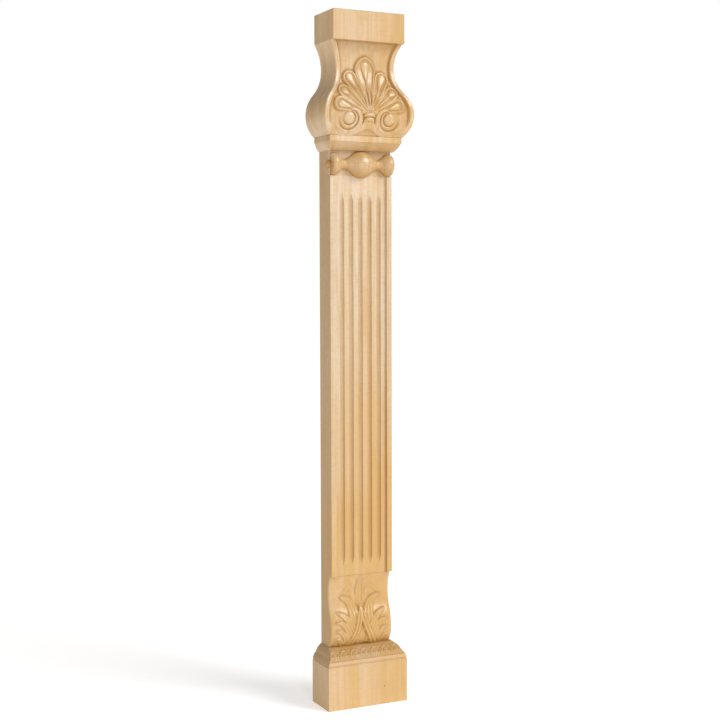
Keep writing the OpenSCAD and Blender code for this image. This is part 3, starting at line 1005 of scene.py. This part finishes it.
def build_spindle():
    """Half rings along the axis: places on the right half, mirrored to the left. On the nib
    they follow a sine, so they crowd towards its tip, where it curves most."""
    barrel = np.linspace(0, SPINDLE_HALF - 0.4, BARREL_RINGS)
    nib_turn = np.linspace(0.05, pi / 2, NIB_RINGS)
    nib_x = SPINDLE_HALF + (spindle_high[0] - SPINDLE_HALF) * np.sin(nib_turn)
    half = np.concatenate([barrel, [SPINDLE_HALF, END_FACE_X], nib_x])
    x = np.concatenate([-half[:0:-1], half])[:, None]
    turn = np.linspace(0, pi, HALF_TURN_POINTS)[None, :]
    radius = spindle_radius(np.abs(x))
    off_panel = radius * np.sin(turn)
    points = np.stack([x + 0 * turn, back_y - panel_d - off_panel,
                       spindle_z + radius * np.cos(turn)], axis=2)

    # painted shade on the nib, necks and underside, and painted shade with glue stain along the panel
    nib = NIB_SHADE * (np.abs(x) > SPINDLE_HALF)
    neck = NECK_SHADE * np.clip((10 - radius) / 5, 0, 1)
    painted_underside = UNDER_SHADE * np.clip((turn / pi - 0.5) / 0.4, 0, 1)
    contact = CONTACT_SHADE_AND_STAIN * np.clip(1 - off_panel / 6, 0, 1)
    shade_and_tone = np.clip(0.05 + nib + neck + painted_underside + contact, 0, 1)
    wood = maple("spindle_maple", 0.5, turned=True, patchy=0.3)
    make_piece("spindle_wood", points, "spindle", wood, shade_and_tone)


build_spindle()

# %% [markdown]
# ## The capital
# A block bandsawn to a vase outline from the front and from the side, with a square
# abacus left standing above and a plain band and rounded moulding below. The carver sinks
# the field inside a narrow border and leaves the carving standing.

# %% Capital outline
OVOLO_H = 10.0
PLAIN_H = 8.0
ABACUS_H = 38.0
BODY_LOW = capital_low[2] + OVOLO_H + PLAIN_H
BODY_HIGH = capital_high[2] - ABACUS_H
ABACUS_HALF = 50.8
ABACUS_D = 58.0
BAND_HALF = 51.5
BAND_D = 48.6
HOLLOW_SHARE = 0.54
print(f"capital: body from {BODY_LOW:.1f} to {BODY_HIGH:.1f} mm")


def vase(z, top, neck, belly, foot, neck_z, belly_z):
    """Outline of the body: an arc out from the neck to the abacus, an S from neck to belly,
    and the belly's own arc down to the band."""
    upper = neck + leave(arc_radius(BODY_HIGH - neck_z, top - neck), z - neck_z)
    middle = s_curve(z, neck, neck_z, belly, belly_z, HOLLOW_SHARE)
    lower = belly - leave(arc_radius(belly_z - BODY_LOW, belly - foot), belly_z - z)
    return np.where(z > neck_z, upper, np.where(z > belly_z, middle, lower))


def body_half_w(z):
    """Half the width of the body: its vase outline from the front."""
    return vase(z, top=50.5, neck=41.6, belly=belly_half_w, foot=52.6,
                neck_z=BODY_HIGH - 33, belly_z=BODY_LOW + 27)


def body_depth(z):
    """Depth of the body from the back: its vase outline from the side."""
    return vase(z, top=52, neck=45.5, belly=belly_d, foot=49,
                neck_z=BODY_HIGH - 29, belly_z=BODY_LOW + 34)


# %% [markdown]
# ## The shell
# The carving is a height map. Each lobe of the shell is a tapered outline with a raised
# rim, a dish, and a drop-shaped boss, and lower lobes lie over upper ones. Ribs run up the
# middle, and a collar binds the foot.

# %% Shell
FIELD_DEEP = 3.4
ROOT_Z = BODY_LOW + 26
ROOT_R = 2.6
RIM_H = 3.3
RIM_HALF = 1.7
DISH_H = 1.25
DISH_CROWN = 0.5
BOSS_H = 2.2
STALK_H = 1.9
STALK_HALF = 0.9

# head (x, height above the root), head radius, how pointed, boss (along, radius, tail)
LOBES = [
    [(0, 57), 15.0, 4.0, (6.0, 5.8, 20)],
    [(22.3, 47), 10.2, 0.0, (2.0, 5.0, 20)],
    [(33.6, 29.5), 9.0, 0.0, (-0.3, 4.7, 8)],
    [(40.6, 13), 9.6, 0.0, (-2.0, 4.8, 14)],
]
print(f"shell: {2 * len(LOBES) - 1} lobes, the field {FIELD_DEEP} mm deep")


def lobe(below, x, up, head, radius, point, boss):
    """Lays one lobe over what is below. It widens evenly from the root to its head, which
    is round, or pointed where two larger circles cross. Distances are from its outline,
    and inside it come a rim, a dish, a boss and a thin stalk."""
    head = np.array(head, float)
    reach = np.hypot(*head)
    way = head / reach
    along = x * way[0] + up * way[1]
    side = np.abs(x * way[1] - up * way[0])
    taper = side - (ROOT_R + (radius - ROOT_R) * np.clip(along / reach, 0, 1))
    cap = np.hypot(side + point, along - reach) - (radius + point)
    gap = np.where(along > reach, cap, np.maximum(taper, -along))

    ahead, boss_r, tail = boss
    from_boss = along - reach - ahead
    drop_w = boss_r * np.clip(1 + np.minimum(from_boss, 0) / tail, 0, 1) ** 0.8
    drop = np.where(from_boss > 0, np.hypot(side, from_boss), side) / np.maximum(drop_w, TINY)
    rim = RIM_H * dome((gap + RIM_HALF) / RIM_HALF)
    dish = DISH_H + DISH_CROWN * np.clip(1 + gap / radius, 0, 1)
    swell = dish + BOSS_H * dome(drop) ** 0.8 * (drop < 1)
    on_stalk = (side < STALK_HALF) & (along > 3) & (from_boss < -0.6 * tail)
    stalk = np.where(on_stalk, STALK_H + 1.0 * (1 - side / STALK_HALF), 0)
    return np.where(gap < 0, np.maximum.reduce([rim, swell, stalk]), below)


# three ribs up the middle of the shell: (x, height above the root) of both ends
RIBS = [[(0.0, 0.0), (0.0, 40.0)], [(2.0, 0.0), (6.6, 36.0)]]


def ribs(below, x, up):
    """Lays thin round ribs over what is below. Each grows wider upwards and then fades."""
    for (low_x, low_up), (high_x, high_up) in RIBS:
        share = np.clip((up - low_up) / (high_up - low_up), 0, 1)
        gap = np.abs(x - low_x - (high_x - low_x) * share) / (0.9 + 1.1 * share)
        held = smooth((1 - share) / 0.35) * (up > low_up - 3)
        rib = (1.6 + 2.4 * dome(gap)) * held + below * (1 - held)
        below = np.where((gap < 1) & (share < 1), rib, below)
    return below


# the collar's two bands: height of the middle, half width, half height
COLLAR = [(BODY_LOW + 24.6, 8.2, 2.7), (BODY_LOW + 19.0, 7.4, 2.7)]
FLARE_TOP = 22


def collar(below, x, z):
    """Two bands that bind the foot of the shell, and the flare below them, which widens
    faster and faster as it drops."""
    side = np.abs(x)
    drop = np.clip((BODY_LOW + 21 - z) / 15, 0, 1)
    flare_w = 6 + 13 * drop ** 1.6
    flare = 0.6 + 2.2 * dome(side / flare_w) ** 0.5
    total = np.where((side < flare_w) & (z < BODY_LOW + FLARE_TOP), flare, below)
    for middle, half_w, half_h in COLLAR:
        arch = middle + 1.4 * (1 - (x / half_w) ** 2)
        near = np.hypot((z - arch) / half_h, np.maximum(side - half_w + 3, 0) / 3)
        total = np.where(near < 1, 1.2 + 3.0 * dome(near), total)
    return total


# %% [markdown]
# ## The volutes
# Each volute is a ball with a roll that winds round it inside a spiral groove, and a broad
# band outside the groove. The sizes change as it winds, so each is a short table against
# the angle round the ball. The angle is 0 over the ball, 90 at its inner side, 180 under it
# and 270 at its outer side.

# %% Volutes
EYE_X = 28.5
EYE_Z = BODY_LOW + 21.3
EYE_R = 8.0
GROOVE_R = [0, 30, 60, 90, 180, 250, 300, 360], [8.0, 10.8, 12.4, 13.3, 14.8, 14.4, 12, 8]
OUTER_R = ([0, 25, 60, 90, 135, 180, 205, 230, 258, 275, 360],
           [8.5, 15, 18.8, 19.8, 20.8, 23.5, 28, 33, 34, 28, 8.5])
LINE_R = [90, 135, 180, 205, 230, 258], [18.2, 18.8, 19.2, 20.6, 22.8, 25]
ROLL_HELD = [0, 40, 205, 262], [0, 1, 1, 0]
BAND_HELD = [0, 18, 245, 268, 300], [0.2, 1, 1, 0.3, 0]
BAND_EDGE = [90, 150, 250, 270], [0.35, 0.92, 0.92, 0.35]
BAND_LINES = (0, 2.2)
BAND_CREST = 0.25
BAND_RISE = 3.2
LINE_DEEP = 0.8


def volute(below, x, z):
    """Lays a volute over what is below: inside the groove the ball and the roll, which is
    half a sine wave, and outside it the band, which falls like a cosine to its edge. Both
    fade on the outer side, where the ball slopes into the field."""
    inward, up = EYE_X - x, z - EYE_Z
    r = np.hypot(inward, up)
    angle = np.degrees(np.arctan2(inward, up)) % 360
    groove, outer, line_r, roll_held, band_held, band_edge = [
        np.interp(angle, *table)
        for table in (GROOVE_R, OUTER_R, LINE_R, ROLL_HELD, BAND_HELD, BAND_EDGE)]

    # the ball stands on a smooth mound, which the groove and the roll cut into
    mound = 1.5 * (1 - smooth((r - EYE_R) / 9))
    ball = 0.9 + 3.9 * dome(r / EYE_R)
    within = np.clip((r - EYE_R - 0.4) / np.maximum(groove - EYE_R - 0.4, 0.3), 0, 1)
    roll = 0.1 + 2.5 * np.sin(pi * within ** 0.8)
    core = np.where(r < EYE_R, ball, roll * roll_held + mound * (1 - roll_held))

    # the band outside the groove is highest near it, with fine lines along its outer edge
    out = np.clip((r - groove) / np.maximum(outer - groove, 0.5), 0, 1)
    fall = np.cos(pi / 2 * (out - BAND_CREST) / (1 - BAND_CREST)) ** 0.7
    band = np.where(out < BAND_CREST, dome(1 - out / BAND_CREST), band_edge + (1 - band_edge) * fall)
    lines = np.maximum.reduce([dome((line_r - inset - r) / 0.6) for inset in BAND_LINES])
    band = BAND_RISE * band - LINE_DEEP * lines * (angle > 100)
    ground = np.maximum(mound, below)
    shape = np.where(r < groove, core, band * band_held + ground * (1 - band_held))
    open_side = (angle > 245) & (r > EYE_R)
    shape = np.where(open_side, np.maximum(shape * (r < outer), ground), shape)
    return np.where((r < outer) | (r < EYE_R) | open_side, shape, below)


# %% [markdown]
# ## The whole height map
# A tongue at the very bottom closes the design. Then the field is sunk, the border keeps
# its own level, and a fine bead runs along the border's inner edge.

# %% Carving
TONGUE_H = 9.0
TONGUE_HALF = 24
TONGUE_LEVEL = 1.6
TONGUE_LINE = 2.9
BORDER_W = 6.2
BORDER_SLOPE = 1.1
BEAD_IN = 5.4
BEAD_HALF = 0.8
BEAD_H = 0.35


def tongue(below, x, z):
    """A low arch at the very bottom, a squared cosine, with a raised line along its top."""
    side = np.abs(x)
    arch = BODY_LOW + TONGUE_H * np.cos(pi / 2 * np.clip(side / TONGUE_HALF, 0, 1)) ** 2
    line = TONGUE_LINE * dome((z - arch) / 1.2) * (side < TONGUE_HALF)
    return np.where(z < arch, np.maximum(TONGUE_LEVEL, line), np.maximum(below, line))


def inside_border(x, z):
    """1 in the field and 0 on the border, with a steep slope between them."""
    return np.clip((body_half_w(z) - BORDER_W - np.abs(x)) / BORDER_SLOPE, 0, 1)


def capital_relief(x, z):
    """Height of the front over the border's face: 0 on the border, sunk by FIELD_DEEP
    inside it, and up again on the carving."""
    side = np.abs(x)
    up = z - ROOT_Z
    height = np.zeros_like(x)
    for lobe_sizes in LOBES:
        height = lobe(height, side, up, *lobe_sizes)
    height = height * smooth((up + 1.5 - 0.12 * side) / 2.5)
    height = ribs(height, side, up)
    height = collar(height, x, z)
    height = volute(height, side, z)
    height = tongue(height, x, z)
    bead = BEAD_H * dome((body_half_w(z) - BEAD_IN - side) / BEAD_HALF)
    return inside_border(x, z) * (height - FIELD_DEEP) + bead


# %% Capital
OVOLO_ROWS = 16
OVOLO_SWELL = 0.9
OVOLO_IN = 5
OVOLO_BACK = 11
BODY_ROWS = 250
CAPITAL_COLUMNS = 261
BODY_EDGE = 1.5
CAPITAL_EDGE = 1.0
CARVING_SOFT = 0.4
CARVED_STEP = 0.45
PROUD = 1.4
# painted shade on the ovolo, in the sunk field, as a shadow under the abacus, and in the carving's
# hollows
OVOLO_SHADE = 0.45
# the abacus is made a little darker
ABACUS_DARKER = 0.2
FIELD_SHADE = 0.25
ABACUS_SHADOW = 0.5


def build_capital():
    """Three stacks of rings: the moulding and its band, the carved body, and the abacus."""
    low, high = capital_low[2], capital_high[2]
    t = np.linspace(0, 1, OVOLO_ROWS)
    ovolo_w = swelled(BAND_HALF - QUIRK - OVOLO_IN, BAND_HALF - QUIRK, OVOLO_SWELL, t)
    ovolo_d = swelled(BAND_D - QUIRK - OVOLO_BACK, BAND_D - QUIRK, OVOLO_SWELL, t)
    band_z = [BODY_LOW - PLAIN_H + 0.05, BODY_LOW - PLAIN_H + EASE, BODY_LOW - EASE, BODY_LOW]
    band_in = np.array([EASE, 0, 0, EASE])
    columns = np.linspace(-1, 1, CAPITAL_COLUMNS)
    base = rings(np.concatenate([low + OVOLO_H * t, band_z]),
                 np.concatenate([ovolo_w, BAND_HALF - band_in]),
                 np.concatenate([ovolo_d, BAND_D - band_in]), columns, edge=CAPITAL_EDGE)

    body_z = np.linspace(BODY_LOW, BODY_HIGH, BODY_ROWS)
    half, depth = body_half_w(body_z), body_depth(body_z)
    x = (half[:, None] - BODY_EDGE) * columns
    z = body_z[:, None] + 0 * x
    grid = (body_z[1] - body_z[0], CARVED_STEP)
    relief = soften(capital_relief(x, z), CARVING_SOFT, grid)
    relief = np.minimum(relief, belly_d + PROUD - depth[:, None])
    body = rings(body_z, half, depth, columns, relief, edge=BODY_EDGE)

    abacus_z = np.array([BODY_HIGH + LEDGE, BODY_HIGH + EASE, high - EASE, high])
    abacus_in = np.array([EASE, 0, 0, EASE])
    abacus = rings(abacus_z, ABACUS_HALF - abacus_in, ABACUS_D - abacus_in, columns,
                   edge=CAPITAL_EDGE)
    points = np.vstack([base, body, abacus])

    span = front_slice(columns)
    shade_and_tone = plain_shade_and_tone(points)
    # painted shade on the ovolo, which faces down
    shade_and_tone[:OVOLO_ROWS, span] = OVOLO_SHADE
    # the abacus a little darker
    shade_and_tone[-len(abacus):-1, FACE] = ABACUS_DARKER
    # painted shade: deeper in the sunk field, a painted shadow under the abacus, and in the carving's
    # hollows
    sunk_field_shade = FIELD_SHADE * inside_border(x, z) * np.clip(-relief / FIELD_DEEP, 0, 1)
    below = BODY_HIGH - z
    painted_abacus_shadow = 0.6 * np.clip(1 - below / 12, 0, 1) + 0.8 * np.clip(1 - below / 2.5, 0, 1)
    hollow = hollowness(relief, grid, reach=2.0, deep=0.68)
    carving_shade = np.clip(sunk_field_shade + ABACUS_SHADOW * painted_abacus_shadow + hollow, 0, 1)
    shade_and_tone[len(base):len(base) + len(body), span] = carving_shade
    boards = [(-13.7, 0.5), (1.8, 0.65), (22, 0.8)]
    wood = maple("capital_maple", 0.3, boards, patchy=0.6)
    make_piece("capital_wood", points, "capital", wood, shade_and_tone)


build_capital()

# %% [markdown]
# ## Finishing
# The view layer is brought up to date. The carved pieces have to fill the same box as
# the solids they stand for.

# %% Finish
bpy.context.view_layer.update()
